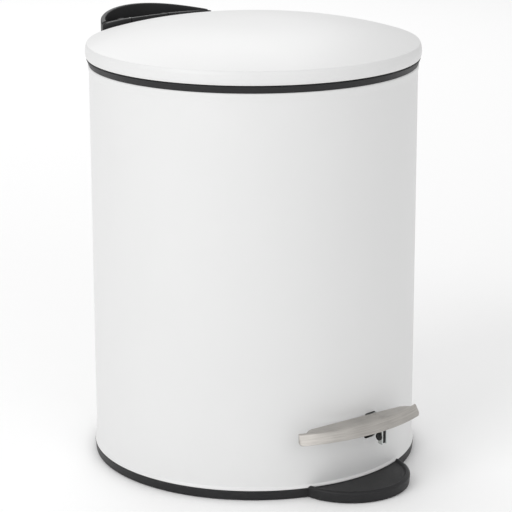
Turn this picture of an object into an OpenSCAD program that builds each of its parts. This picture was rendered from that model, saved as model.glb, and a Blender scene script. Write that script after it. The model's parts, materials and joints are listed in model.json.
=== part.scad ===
// Pedal trash can: steel shell on a plastic base, domed lid with a rear hinge,
// a foot lever that lifts the lid through a push rod, and a lift-out bucket.
// Millimetres, +Z up, front (pedal side) towards -Y, origin on the can's axis at floor level.

/* [Body] */
// Outer radius of the steel shell
body_r = 101; // [85:1:125]
// Height of the shell's top edge above the floor
shell_top = 248; // [200:1:320]
// Thickness of the shell's sheet
shell_t = 0.8; // [0.6:0.1:1.5]
// How far the rolled bead below the rim stands proud
bead_out = 0.5; // [0.2:0.1:1]
// Height of the rolled bead
bead_h = 2.4; // [1.5:0.1:4]
// How far the shell flares out at its bottom edge
flare_out = 1.1; // [0.4:0.1:2]
// Height of the flare
flare_h = 4; // [2:0.5:8]

/* [Base] */
// Height of the black ring below the shell
ring_h = 6; // [5:0.5:10]
// How far the ring's top edge stands out from the shell's radius
ring_out = 1.3; // [1.2:0.1:2]
// Thickness of the base's floor
floor_t = 2.6; // [2.2:0.1:4]
// Height of the collar that the shell fits over
collar_h = 7; // [4:0.5:12]
// Thickness of the collar
collar_t = 2; // [1.5:0.1:3]
// Radius of the front foot's outline
foot_r = 37.5; // [35:0.2:50]
// How far the front foot reaches beyond the shell
foot_reach = 27.5; // [20:0.5:38]
// Height of the front foot
foot_h = 7.2; // [6.5:0.1:12]
// Width of the raised edge around the foot
foot_edge = 3.4; // [2:0.1:6]
// Depth of the foot's recessed top
foot_dip = 1.2; // [0.5:0.1:2]
// Radius of a rubber pad
pad_r = 7; // [5:0.5:10]
// Thickness of a rubber pad
pad_t = 1.6; // [1:0.1:2]

/* [Rim and lid] */
// Height of the black rim between shell and lid
rim_h = 4.3; // [3:0.1:8]
// How far the rim's top edge stands out from the shell's radius
rim_out = 1.5; // [0.8:0.1:2]
// Gap between the rim and the closed lid
lid_gap = 0.5; // [0.3:0.1:1]
// How far the lid's skirt stands out from the shell's radius
lid_out = 2.2; // [1.8:0.1:4]
// Height of the lid's skirt up to the crease
skirt_h = 8.3; // [7.5:0.1:12]
// Rise of the dome above the crease
dome_h = 12; // [6:0.5:20]
// Fullness of the dome: 2 is a plain arch, more is flatter in the middle
dome_full = 2.7; // [2:0.1:4]
// Thickness of the lid's sheet
lid_t = 0.8; // [0.6:0.1:1.5]
// Opening angle of the lid
lid_open = 75; // [60:1:78]

/* [Hinge and rear handle] */
// Distance of the hinge axis behind the shell
hinge_back = 12; // [11:0.5:14]
// Height of the hinge axis above the rim's top
hinge_up = 5.7; // [5.2:0.1:6.4]
// Radius of the hinge pin
hinge_pin_r = 2; // [1.5:0.1:2.5]
// Width of the lid's hinge arm
arm_w = 26; // [22:1:30]
// Thickness of the lid's hinge arm
arm_t = 2.3; // [2:0.1:2.6]
// Radius of the rear handle's outline
wing_r = 47.5; // [40:0.5:55]
// How far the rear handle reaches beyond the shell
wing_reach = 25; // [22:0.5:30]
// Height of the rear handle's edge above the rim's top
wing_up = 16.4; // [14:0.2:17]
// Wall thickness of the rear handle
wing_t = 3; // [2.4:0.1:4]
// Radius of the arch along the rear handle's top edge
wing_arch = 200; // [160:5:400]
// Half-width of the hollow in the rear handle
wing_room = 38; // [32:0.5:44]

/* [Pedal] */
// Height of the pedal plate's top above the floor
pedal_z = 46; // [42:0.5:56]
// Gap between the shell and the pedal plate's back edge
pedal_gap = 2.6; // [2:0.1:5]
// Width of the pedal plate from back edge to lip
pedal_w = 12.4; // [10:0.2:18]
// Radius of the pedal plate's back corners
pedal_corner = 9; // [4:0.5:11]
// Half of the angle that the pedal plate spans round the can
pedal_half = 21; // [16:0.5:28]
// Angle that the pedal plate is set round the can from the front
pedal_turn = -3.5; // [-4:0.5:4]
// Height of the pedal's folded lip
lip_h = 6.6; // [5:0.1:9]
// How far the lip's lower edge leans out
lip_lean = 2.4; // [1:0.1:4]
// Sheet thickness of the pedal plate and the lever
pedal_t = 1.2; // [1:0.1:1.6]
// Width of the lever's channel
lever_w = 9; // [8:0.5:12]
// Depth of the lever's channel
lever_d = 7.4; // [6:0.2:9]
// Distance of the lever's pivot behind the front of the shell
pivot_in = 39; // [34:1:44]
// Height of the lever's pivot
pivot_z = 26; // [24:0.5:28]
// Radius of the pivot pin
pivot_r = 2; // [1.5:0.1:2.5]
// Sideways place of the lever and the push rod
drive_x = 8; // [6:0.5:9]
// Height of the lever's turned-down nose above the floor
nose_z = 28.4; // [26:0.2:32]
// Width of the lever's nose over its two cheeks
nose_w = 4.6; // [4:0.2:6]
// Sideways place of the nose from the lever's middle
nose_side = 0.4; // [-1:0.2:2]

/* [Push rod] */
// Radius of the push rod's wire
rod_r = 1.75; // [1.5:0.05:2]
// Distance of the lug's pin inside the shell's radius when the lid is closed
lug_in = 6.51; // [6.3:0.01:6.8]
// Angle of the lug's pin below the hinge axis when the lid is closed
lug_rest = 35; // [33:1:37]

/* [Bucket] */
// Height of the bucket's bottom above the floor
bucket_z = 50; // [48:1:60]
// Wall thickness of the bucket
bucket_t = 1.8; // [1.2:0.1:2.5]
// How much narrower the bucket's bottom is than its top, in radius
bucket_taper = 8; // [2:0.5:14]
// Radius of the bucket handle's wire
bail_r = 1.5; // [1:0.1:2]
// Height of the bucket handle below the bucket's top
bail_drop = 13; // [11:0.5:20]
// Gap between the handle's wire and the bucket's wall
bail_gap = 5; // [4:0.5:9]

/* [Fits] */
// Radial clearance of a turning or sliding fit
run_fit = 0.05; // [0.02:0.01:0.1]
// Gap between pieces that pass each other
pass_gap = 0.6; // [0.4:0.1:1]

/* [Hidden] */
$fn = 96;

shell_in = body_r - shell_t;
rim_top = shell_top + rim_h;
lid_z = rim_top + lid_gap;
crease_z = lid_z + skirt_h;
crease_r = body_r + 1;
hinge_y = body_r + hinge_back;
hinge_z = rim_top + hinge_up;
pin_start = lug_rest;
lug_r = (hinge_back + lug_in) / cos(lug_rest);
pin_end = lid_open - lug_rest;
lug_y = body_r - lug_in;
lug_z = hinge_z - lug_r * sin(pin_start);
lug_near = hinge_y - lug_r;
lug_far = hinge_y - lug_r * cos(max(pin_start, pin_end));
rod_y = lug_y - 1;
rod_stroke = lug_r * (sin(pin_start) + sin(pin_end));
rod_low = pivot_z - rod_stroke / 2;
pivot_y = pivot_in - body_r;
lever_in = lever_w / 2 - pedal_t;
slack = 0.65;
head_h = rod_r + slack;
head_wall = 1.3;
head_t = 2.5;
head_front = lug_near - 0.15 - head_h - head_wall;
lug_gap = 0.4;
lug_x = drive_x + rod_r + lug_gap;
lug_t = 2;
seat_r = head_front - pass_gap / 2;
bucket_r = seat_r - 3.6;
seat_z = rim_top - 2.7;
bucket_top = seat_z + bucket_t;
bow = bucket_r - bucket_t - bail_r - bail_gap;
notch_w = 5.4;
plate_r = body_r + pedal_gap;
lip_r = plate_r + pedal_w;
nose_x = drive_x + nose_side;
nose_y = 2.6 - lip_r;
button_r = 1.4;
button_y = nose_y + 1.8;
button_z = nose_z + 5;
arm_z = lid_z + 1.1;
arm_half = arm_w / 2;
ring_z = arm_z + arm_t;
ring_t = 2;
ring_in = seat_r + 3.6;
lid_in = body_r + lid_out - lid_t;
lid_taper = 0.3;
floor_z = arm_z - 0.7;
band_in = body_r + 4.7;
band_out = band_in + 3.5;
band_top = hinge_z + 5.5;
wing_y = body_r + wing_reach - wing_r;
wing_top = rim_top + wing_up;
wing_low = floor_z - 2.7;
ear_t = 4.6;
ear_x = arm_half + 2.4;
box_half = 20;
box_low = rim_top - 30;
screw_z = box_low + 8;
screw_x = 13;
screw_r = 1.6;

function dome_z(r) = crease_z + dome_h * (1 - pow(r / crease_r, dome_full));

// A flat outline in the Y-Z plane, drawn as [y, z] points, extruded along X and centred on x
module side_plate(points, x, t) {
  translate([x - t / 2, 0, 0])
    rotate([90, 0, 90])
      linear_extrude(t) polygon(points);
}

// A cylinder along X, centred on x
module cross_bar(r, length, x, y, z) {
  translate([x - length / 2, y, z]) rotate([0, 90, 0]) cylinder(r = r, h = length);
}

// A slot-shaped bar along X, its length along Y
module cross_slot(r, y0, y1, length, x, z) {
  cross_bar(r, length, x, y0, z);
  cross_bar(r, length, x, y1, z);
  translate([x - length / 2, y0, z - r]) cube([length, y1 - y0, 2 * r]);
}

module tube(r_out, r_in, z0, z1) {
  translate([0, 0, z0]) difference() {
    cylinder(r = r_out, h = z1 - z0);
    translate([0, 0, -1]) cylinder(r = r_in, h = z1 - z0 + 2);
  }
}

// A pan-head screw or rivet, head towards +Z, its seat at z = 0
module fastener(r, head_r, head, length) {
  translate([0, 0, -length]) cylinder(r = r, h = length);
  cylinder(r1 = head_r, r2 = head_r * 0.7, h = head);
}

module body_shell() {
  color("white")
  difference() {
    rotate_extrude($fn = 180) polygon(concat(
      [[shell_in, ring_h], [body_r + flare_out, ring_h], [body_r + flare_out, ring_h + 0.8]],
      [for (i = [1:6]) [
        body_r + flare_out * (1 - sin(15 * i)),
        ring_h + 0.8 + (flare_h - 0.8) * (1 - cos(15 * i))]],
      [for (i = [0:8]) [
        body_r + bead_out * sin(22.5 * i),
        shell_top - bead_h * (0.5 + 0.5 * cos(22.5 * i))]],
      [[shell_in, shell_top]]
    ));
    lever_slot();
    for (s = [-1, 1]) screw_hole(s, screw_r + run_fit);
    rear_notch(shell_top - 11);
  }
}

// The upright slot that the lever passes through
module lever_slot() {
  drop = rod_stroke * pivot_in / (rod_y - pivot_y) + 0.6;
  low = pedal_z - pedal_t - lever_d - drop - pass_gap;
  high = pedal_z - pedal_t + pass_gap;
  half = lever_w / 2 + pass_gap;
  translate([drive_x - half, -body_r - 5, low]) cube([2 * half, 12, high - low]);
}

// The notch behind the lid that the lug and the rod's head pass through
module rear_notch(z) {
  translate([drive_x - notch_w + 1, head_front - pass_gap, z])
    cube([notch_w * 2, body_r + 5 - head_front, 40]);
}

module screw_hole(s, r) {
  translate([s * screw_x, body_r + 6, screw_z])
    rotate([90, 0, 0]) cylinder(r = r, h = 14);
}

module top_rim() {
  color("#1f1f1f")
  difference() {
    rotate_extrude($fn = 180) polygon([
      [shell_in, shell_top - 8], [shell_in, shell_top], [body_r, shell_top],
      [body_r + rim_out * 0.8, rim_top - 1.2], [body_r + rim_out, rim_top - 0.5],
      [body_r + rim_out - 0.4, rim_top], [seat_r + 0.6, rim_top], [seat_r, seat_z],
      [bucket_r + 0.6, seat_z], [bucket_r + 0.6, seat_z - 2], [shell_in - 1.4, seat_z - 2],
      [shell_in - 1.4, shell_top - 8]
    ]);
    rear_notch(shell_top - 9);
  }
}

module base_pan() {
  color("#1f1f1f")
  difference() {
    union() {
      cylinder(r1 = body_r + ring_out - 0.7, r2 = body_r + ring_out, h = ring_h, $fn = 180);
      cylinder(r = shell_in, h = ring_h + collar_h, $fn = 180);
      foot_block(foot_r, 0, foot_h);
    }
    translate([0, 0, floor_t]) cylinder(r = shell_in - collar_t, h = 60, $fn = 180);
    difference() {
      foot_block(foot_r - foot_edge, foot_h - foot_dip, 5);
      translate([0, 0, -1]) cylinder(r = body_r + ring_out + 0.4, h = 30, $fn = 180);
    }
    shell_room();
    for (a = [45:90:315]) rotate(a)
      translate([body_r - 22, 0, -1]) cylinder(r = pad_r, h = pad_t + 1);
    translate([drive_x - lever_w, rod_y - 6, floor_t]) cube([2 * lever_w, 40, 40]);
    translate([drive_x - lever_w, -body_r - 1, ring_h]) cube([2 * lever_w, 20, 40]);
    for (s = [-1, 1]) translate([drive_x + s * 12, pivot_y, 0.8]) cylinder(r = 1.5, h = 20);
  }
}

// A slice of the foot's round outline, z high from z0 up
module foot_block(r, z0, h) {
  translate([0, foot_r - body_r - foot_reach, z0]) cylinder(r = r, h = h, $fn = 120);
}

// The space that the shell's bottom edge takes above the ring
module shell_room() {
  difference() {
    translate([0, 0, ring_h]) cylinder(r = body_r + flare_out + 0.1, h = 60, $fn = 180);
    translate([0, 0, -1]) cylinder(r = shell_in, h = 90, $fn = 180);
  }
}

module rubber_pads() {
  color("#2b2b2b")
  for (a = [45:90:315]) rotate(a) translate([body_r - 22, 0, 0])
    cylinder(r = pad_r, h = pad_t);
}

module pivot_bracket() {
  ear = 1.5;
  ear_in = lever_w / 2 + 0.4;
  color("silver")
  difference() {
    union() {
      translate([drive_x - 17, pivot_y - 9, floor_t]) cube([34, 18, ear]);
      for (s = [-1, 1]) {
        x = drive_x + s * (ear_in + ear / 2);
        cross_bar(6, ear, x, pivot_y, pivot_z);
        translate([x - ear / 2, pivot_y - 6, floor_t]) cube([ear, 12, pivot_z - floor_t]);
      }
    }
    cross_bar(pivot_r, 60, drive_x, pivot_y, pivot_z);
    for (s = [-1, 1]) translate([drive_x + s * 12, pivot_y, 0]) cylinder(r = 1.6, h = 20);
  }
}

module bracket_screws() {
  color("silver")
  for (s = [-1, 1]) translate([drive_x + s * 12, pivot_y, floor_t + 1.5])
    fastener(1.5, 2.9, 1.9, floor_t + 0.6);
}

module pivot_pin() {
  color("silver") cross_bar(pivot_r, lever_w + 7, drive_x, pivot_y, pivot_z);
}

module pivot_clips() {
  color("dimgray")
  for (s = [-1, 1]) difference() {
    cross_bar(pivot_r + 2, 0.8, drive_x + s * (lever_w / 2 + 2.3), pivot_y, pivot_z);
    cross_bar(pivot_r, 40, drive_x, pivot_y, pivot_z);
  }
}

module rod_guides() {
  color("white")
  for (z = [shell_top * 0.3, shell_top * 0.66]) difference() {
    intersection() {
      translate([drive_x - 6, rod_y - rod_r - 1.8, z]) cube([12, 30, 10]);
      cylinder(r = shell_in, h = shell_top, $fn = 180);
    }
    translate([drive_x, rod_y, z - 1]) cylinder(r = rod_r + run_fit, h = 12);
  }
}

module hinge_housing() {
  color("#1f1f1f")
  difference() {
    union() {
      difference() {
        intersection() {
          wing_block(wing_r, wing_low, wing_top);
          translate([0, 2 * body_r, wing_top - wing_arch]) rotate([90, 0, 0])
            cylinder(r = wing_arch, h = 2 * body_r, $fn = 180);
        }
        intersection() {
          wing_block(wing_r - wing_t, floor_z, wing_top + 1);
          translate([-wing_room, 0, 0]) cube([2 * wing_room, 2 * body_r, 2 * wing_top]);
        }
        translate([0, 0, band_top]) cylinder(r = band_in + 1.8, h = 40, $fn = 180);
      }
      intersection() {
        wing_block(wing_r - wing_t + 0.5, floor_z - 1, band_top);
        tube(band_out, band_in, floor_z - 1, band_top);
      }
      for (s = [-1, 1]) {
        x = s * (ear_x + ear_t / 2);
        cross_bar(4.6, ear_t, x, hinge_y, hinge_z);
        translate([x - ear_t / 2, hinge_y - 4.6, floor_z - 1])
          cube([ear_t, 9.2, hinge_z - floor_z + 1]);
      }
      translate([-box_half, 0, box_low]) cube([2 * box_half, hinge_y - 3, wing_low - box_low + 1]);
    }
    cylinder(r = body_r, h = 400, $fn = 180);
    translate([0, 0, shell_top - bead_h - 0.2])
      cylinder(r = body_r + rim_out + 0.2, h = lid_z - shell_top + bead_h, $fn = 180);
    translate([0, 0, rim_top + 0.2]) cylinder(r = band_in, h = 40, $fn = 180);
    translate([-ear_x, 0, floor_z]) cube([2 * ear_x, band_out + 1, 40]);
    cross_bar(hinge_pin_r, 2 * (ear_x + ear_t) + 4, 0, hinge_y, hinge_z);
    for (s = [-1, 1]) screw_hole(s, screw_r);
    rear_notch(shell_top - 11);
  }
}

// The rear handle's round outline between two heights
module wing_block(r, z0, z1) {
  translate([0, wing_y, z0]) cylinder(r = r, h = z1 - z0, $fn = 120);
}

module hinge_backplate() {
  color("silver")
  difference() {
    intersection() {
      tube(shell_in, shell_in - 1.5, box_low, shell_top - 9);
      translate([-box_half, 0, 0]) cube([2 * box_half, 200, 400]);
    }
    for (s = [-1, 1]) screw_hole(s, screw_r + run_fit);
    rear_notch(shell_top - 11);
  }
}

module housing_screws() {
  seat = sqrt(pow(shell_in - 1.5, 2) - pow(screw_x + 3.2, 2));
  color("silver")
  for (s = [-1, 1]) translate([s * screw_x, seat, screw_z]) rotate([90, 0, 0])
    fastener(screw_r, 3.2, 1.9, body_r + 6 - seat);
}

module hinge_pin() {
  color("silver") cross_bar(hinge_pin_r, 2 * (ear_x + ear_t), 0, hinge_y, hinge_z);
}

module pedal_lever() {
  top = pedal_z - pedal_t;
  crank_y = 8 - body_r;
  rear_y = rod_y + 3.9;
  rear_z = rod_low + 3.9;
  upper = [
    [rear_y, rear_z], [pivot_y + 8, pivot_z + 4.5], [pivot_y - 3, pivot_z + 5],
    [crank_y, top], [nose_y, top]
  ];
  color("silver")
  difference() {
    union() {
      for (s = [-1, 1]) {
        side_plate(concat(upper, [
          [nose_y, top - pedal_t], [nose_y + 6, top - lever_d],
          [crank_y - 2, top - lever_d], [pivot_y - 6, pivot_z - 5],
          [pivot_y + 8, pivot_z - 5], [rear_y, rear_z - lever_d]
        ]), drive_x + s * (lever_w - pedal_t) / 2, pedal_t);
        side_plate([
          [nose_y, top], [nose_y, nose_z], [nose_y + 3.4, nose_z], [nose_y + 3.4, top]
        ], nose_x + s * (nose_w - pedal_t) / 2, pedal_t);
      }
      side_plate(concat(upper, [
        [nose_y, top - pedal_t], [crank_y + 0.5, top - pedal_t],
        [pivot_y - 3.4, pivot_z + 5 - pedal_t], [pivot_y + 8, pivot_z + 4.5 - pedal_t],
        [rear_y, rear_z - pedal_t]
      ]), drive_x, lever_w - pedal_t);
    }
    cross_bar(button_r, nose_w, nose_x - nose_w / 2, button_y, button_z);
    cross_bar(pivot_r + run_fit, 40, drive_x, pivot_y, pivot_z);
    cross_slot(rod_r + 0.2, rod_y - 0.9, rod_y + 0.6, 40, drive_x, rod_low);
    translate([drive_x - lever_in, rod_y - 5, 0]) cube([2 * lever_in, 20, 40]);
    for (y = rivet_places()) translate([drive_x, y, pedal_z - 2 * pedal_t])
      cylinder(r = 1.3, h = 20);
  }
}

function rivet_places() = [-plate_r - 3, -plate_r - 8];

// The pedal's flat sheet: straight at the back, round at the front, its back corners rounded
module plate_sheet() {
  half = lip_r * sin(pedal_half);
  c = pedal_corner;
  rotate(pedal_turn - 90) intersection() {
    translate([0, 0, pedal_z - pedal_t]) cylinder(r = lip_r - 0.8, h = pedal_t, $fn = 180);
    union() {
      translate([plate_r, c - half, 0]) cube([50, 2 * (half - c), 2 * pedal_z]);
      translate([plate_r + c, -half, 0]) cube([50, 2 * half, 2 * pedal_z]);
      for (s = [-1, 1]) translate([plate_r + c, s * (half - c), 0])
        cylinder(r = c, h = 2 * pedal_z);
    }
  }
}

module pedal_plate() {
  color("#b9b2aa")
  difference() {
    union() {
      plate_sheet();
      rotate([0, 0, pedal_turn - 90 - pedal_half - 2])
        rotate_extrude(angle = 2 * (pedal_half + 2), $fn = 180) polygon([
          [lip_r - 1.6, pedal_z], [lip_r - 0.3, pedal_z - 0.3],
          [lip_r + lip_lean, pedal_z - lip_h], [lip_r + lip_lean - pedal_t, pedal_z - lip_h],
          [lip_r - 1.6, pedal_z - pedal_t]
        ]);
    }
    for (y = rivet_places()) translate([drive_x, y, pedal_z - 10]) cylinder(r = 1.3, h = 20);
  }
}

module pedal_rivets() {
  color("#b9b2aa")
  for (y = rivet_places()) translate([drive_x, y, pedal_z]) fastener(1.3, 2.2, 0.4, 2 * pedal_t);
}

module lever_bush() {
  color("white")
  difference() {
    cross_bar(pivot_r + 1.5, 2 * lever_in, drive_x, pivot_y, pivot_z);
    cross_bar(pivot_r + run_fit, 40, drive_x, pivot_y, pivot_z);
  }
}

// The rubber stop between the nose's cheeks, with a button on its left side
module nose_bumper() {
  gap = nose_w - 2 * pedal_t;
  top = pedal_z - 2 * pedal_t - 0.1;
  button_t = 1.4;
  left = nose_x - nose_w / 2;
  color("#1a1a1a") {
    side_plate([
      [nose_y + 0.5, nose_z + 0.4], [nose_y + 0.5, top], [nose_y + 2.9, top],
      [nose_y + 2.9, nose_z + 0.4]
    ], nose_x, gap);
    cross_bar(button_r, nose_w / 2 + button_t, left + nose_w / 4 - button_t / 2, button_y, button_z);
    cross_bar(button_r + 1, button_t, left - button_t / 2, button_y, button_z);
  }
}

module push_rod() {
  color("silver") {
    difference() {
      union() {
        translate([drive_x, rod_y, rod_low]) cylinder(r = rod_r, h = lug_z - 3.5 - rod_low);
        translate([drive_x, rod_y, rod_low]) sphere(r = rod_r);
        cross_slot(head_h + head_wall, lug_near - 0.15, lug_far + 0.15, head_t, drive_x, lug_z);
      }
      cross_slot(head_h, lug_near - 0.15, lug_far + 0.15, 20, drive_x, lug_z);
    }
    cross_bar(rod_r, lever_w + 5, drive_x + 0.5, rod_y, rod_low);
  }
}

module rod_clip() {
  color("white")
  difference() {
    cross_bar(rod_r + 1.6, 1.4, drive_x + lever_w / 2 + 1.1, rod_y, rod_low);
    cross_bar(rod_r, 40, drive_x, rod_y, rod_low);
  }
}

module lid_shell() {
  inner_r = crease_r - lid_t;
  color("white")
  difference() {
    rotate_extrude($fn = 180) polygon(concat(
      [[body_r + lid_out - 0.6, lid_z], [body_r + lid_out - 0.1, lid_z + 1.6],
       [body_r + lid_out, lid_z + 3.6], [body_r + lid_out - 0.3, crease_z - 2.2],
       [crease_r + 0.5, crease_z - 0.6]],
      [for (i = [0:20]) let (r = crease_r * cos(4.5 * i)) [r, dome_z(r)]],
      [for (i = [20:-1:0]) let (r = inner_r * cos(4.5 * i)) [r, dome_z(r) - lid_t * 1.1]],
      [[lid_in - lid_taper, ring_z + ring_t], [lid_in, ring_z], [lid_in - 2 * lid_taper, lid_z]]
    ));
    translate([-arm_half - pass_gap, 60, lid_z - 1])
      cube([arm_w + 2 * pass_gap, 80, ring_z - lid_z + 1.4]);
  }
}

module lid_ring() {
  color("white")
  difference() {
    rotate_extrude($fn = 180) polygon([
      [ring_in, ring_z], [lid_in, ring_z], [lid_in - lid_taper, ring_z + ring_t],
      [ring_in, ring_z + ring_t]
    ]);
    head_room();
    for (p = arm_points()) translate([p[0], p[1], 0]) cylinder(r = 1.5, h = 400);
  }
}

function arm_points() = [for (x = [-9, 1.5], y = [ring_in + 3, ring_in + 8]) [x, y]];

// Room in the lid's pieces for the rod's head
module head_room() {
  translate([drive_x - head_t / 2 - 0.8, 0, arm_z - 20])
    cube([head_t + 1.1, lug_far + head_h + head_wall + 2.5, 60]);
}

module hinge_arm() {
  color("silver")
  difference() {
    union() {
      translate([-arm_half, ring_in, arm_z]) cube([arm_w, hinge_y - ring_in, arm_t]);
      cross_bar(arm_z + arm_t - hinge_z + 6, arm_w, 0, hinge_y, hinge_z);
      side_plate([
        [lug_y - 3.6, lug_z - 2], [lug_y - 1.4, lug_z - 3.8], [lug_y + 1.4, lug_z - 3.8],
        [lug_y + 3.4, lug_z - 2], [lug_y + 5.5, arm_z + 0.2], [lug_y - 5, arm_z + 0.2]
      ], lug_x + lug_t / 2, lug_t);
    }
    cross_bar(hinge_pin_r + run_fit, 60, 0, hinge_y, hinge_z);
    cross_bar(rod_r, 40, 0, lug_y, lug_z);
    head_room();
    for (p = arm_points()) translate([p[0], p[1], 0]) cylinder(r = 1.5, h = 400);
  }
}

// Plastic cap that fills the handle's gap in front of the hinge
module hinge_cap() {
  color("#1f1f1f")
  intersection() {
    tube(band_out - 0.6, band_in + 0.2, ring_z, band_top - 0.2);
    translate([pass_gap - ear_x, 0, 0]) cube([2 * (ear_x - pass_gap), 200, 400]);
  }
}

module arm_rivets() {
  color("silver")
  for (p = arm_points()) translate([p[0], p[1], ring_z + ring_t]) {
    fastener(1.5, 2.6, 0.9, ring_t + arm_t);
    translate([0, 0, -ring_t - arm_t - 0.7]) cylinder(r = 2.6, h = 0.7);
  }
}

module lug_pin() {
  left = drive_x - head_t / 2 - 1.4;
  right = lug_x + lug_t;
  color("silver") cross_bar(rod_r, right - left, (left + right) / 2, lug_y, lug_z);
}

module lid_buffers() {
  color("#2b2b2b")
  for (a = [-90, 25, 155]) rotate(a) translate([ring_in + 6, 0, rim_top + 0.1])
    cylinder(r = 3, h = ring_z - rim_top - 0.1);
}

module inner_bucket() {
  low_r = bucket_r - bucket_taper;
  bail_z = bucket_top - bail_drop;
  color("#2a2a2a")
  difference() {
    rotate_extrude($fn = 180) polygon([
      [0, bucket_z], [low_r - 2, bucket_z], [low_r, bucket_z + 2], [bucket_r, seat_z],
      [seat_r - 0.6, seat_z], [seat_r - 0.6, bucket_top], [bucket_r - bucket_t, bucket_top],
      [low_r - bucket_t, bucket_z + 4], [low_r - 4, bucket_z + bucket_t],
      [0, bucket_z + bucket_t]
    ]);
    cross_bar(bail_r + run_fit, 300, 0, 0, bail_z);
  }
}

// The bucket's wire handle, lying round the inside of the bucket
module bucket_handle() {
  z = bucket_top - bail_drop;
  color("silver") {
    translate([0, 0, z]) rotate(180) rotate_extrude(angle = 180, $fn = 180)
      translate([bow, 0]) circle(r = bail_r, $fn = 24);
    for (s = [-1, 1]) cross_bar(bail_r, bucket_r - bow, s * (bucket_r + bow) / 2, 0, z);
  }
}

// The plastic sleeve in the middle of the wire handle
module handle_grip() {
  color("#2a2a2a")
  translate([0, 0, bucket_top - bail_drop]) rotate(-110)
    rotate_extrude(angle = 40, $fn = 180) translate([bow, 0]) difference() {
      circle(r = bail_r + 1.4, $fn = 32);
      circle(r = bail_r, $fn = 24);
    }
}

body_shell();
top_rim();
base_pan();
rubber_pads();
pivot_bracket();
bracket_screws();
pivot_pin();
pivot_clips();
rod_guides();
hinge_housing();
hinge_backplate();
housing_screws();
hinge_pin();
pedal_lever();
pedal_plate();
pedal_rivets();
lever_bush();
nose_bumper();
push_rod();
rod_clip();
lid_shell();
lid_ring();
hinge_arm();
hinge_cap();
arm_rivets();
lug_pin();
lid_buffers();
inner_bucket();
bucket_handle();
handle_grip();
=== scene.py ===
import json
import math

import bmesh
import bpy
from mathutils import Euler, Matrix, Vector


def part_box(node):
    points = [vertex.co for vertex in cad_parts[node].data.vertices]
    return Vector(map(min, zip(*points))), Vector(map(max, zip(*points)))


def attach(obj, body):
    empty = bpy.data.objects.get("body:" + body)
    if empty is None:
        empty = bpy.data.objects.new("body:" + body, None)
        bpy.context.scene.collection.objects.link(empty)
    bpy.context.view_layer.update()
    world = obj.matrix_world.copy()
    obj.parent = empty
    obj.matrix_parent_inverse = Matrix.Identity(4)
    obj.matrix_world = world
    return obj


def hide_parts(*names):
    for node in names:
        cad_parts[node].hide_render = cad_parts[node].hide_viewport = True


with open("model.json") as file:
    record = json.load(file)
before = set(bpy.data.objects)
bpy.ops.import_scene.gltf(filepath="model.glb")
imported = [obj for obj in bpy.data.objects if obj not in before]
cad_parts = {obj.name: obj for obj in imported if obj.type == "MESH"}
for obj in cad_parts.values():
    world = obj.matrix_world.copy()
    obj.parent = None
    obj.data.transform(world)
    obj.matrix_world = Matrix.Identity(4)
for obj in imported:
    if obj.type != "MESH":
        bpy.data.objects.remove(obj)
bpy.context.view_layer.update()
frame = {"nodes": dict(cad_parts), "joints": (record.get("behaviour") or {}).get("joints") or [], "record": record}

mm = 0.001
record = frame["record"]
bodyOfNode = {node: body for body, nodes in record["behaviour"]["bodies"].items() for node in nodes}
slotOfNode = {part["node"]: part["material_slot"] for part in record["subparts"]}
jointPlace = {joint["name"]: joint.get("pos_m") for joint in frame["joints"]}

shellLow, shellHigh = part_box("body_shell")
baseLow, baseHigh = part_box("base_pan")
rimLow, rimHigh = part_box("top_rim")
lidLow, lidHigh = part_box("lid_shell")
bucketLow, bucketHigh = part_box("inner_bucket")
driveX = jointPlace["pedal_press"][0]


# Small tools for node trees and meshes

def addNode(tree, kind, values=None, **settings):
    made = tree.nodes.new(kind)
    for name, value in settings.items():
        setattr(made, name, value)
    for name, value in (values or {}).items():
        socket = made.inputs[name]
        if isinstance(value, bpy.types.NodeSocket):
            tree.links.new(value, socket)
        else:
            socket.default_value = value
    return made


def mathNode(tree, operation, first, second=0.0):
    return addNode(tree, "ShaderNodeMath", {0: first, 1: second}, operation=operation).outputs[0]


def newTree(name, inputs):
    tree = bpy.data.node_groups.new(name, "GeometryNodeTree")
    tree.interface.new_socket("Geometry", in_out="INPUT", socket_type="NodeSocketGeometry")
    for label, kind in inputs:
        tree.interface.new_socket(label, in_out="INPUT", socket_type="NodeSocket" + kind)
    tree.interface.new_socket("Geometry", in_out="OUTPUT", socket_type="NodeSocketGeometry")
    return tree, tree.nodes.new("NodeGroupInput").outputs


def closeTree(tree, geometry, finish):
    loose = addNode(tree, "GeometryNodeRealizeInstances", {"Geometry": geometry})
    coated = addNode(tree, "GeometryNodeSetMaterial", {"Geometry": loose.outputs[0], "Material": finish})
    out = tree.nodes.new("NodeGroupOutput")
    tree.links.new(coated.outputs[0], out.inputs["Geometry"])
    return tree


def showObject(name, mesh):
    piece = bpy.data.objects.new(name, mesh)
    bpy.context.scene.collection.objects.link(piece)
    return piece


def bakeModifiers(piece):
    bpy.context.view_layer.update()
    seen = piece.evaluated_get(bpy.context.evaluated_depsgraph_get())
    mesh = bpy.data.meshes.new_from_object(seen)
    piece.modifiers.clear()
    piece.data = mesh
    return piece


def grow(name, tree, points, edges, values):
    base = bpy.data.meshes.new(name)
    base.from_pydata(points, edges, [])
    piece = bpy.data.objects.new(name, base)
    modifier = piece.modifiers.new("shape", "NODES")
    modifier.node_group = tree
    for item in tree.interface.items_tree:
        if item.in_out == "INPUT" and item.name in values:
            modifier[item.identifier] = values[item.name]
    bpy.context.scene.collection.objects.link(piece)
    return bakeModifiers(piece)


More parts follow.
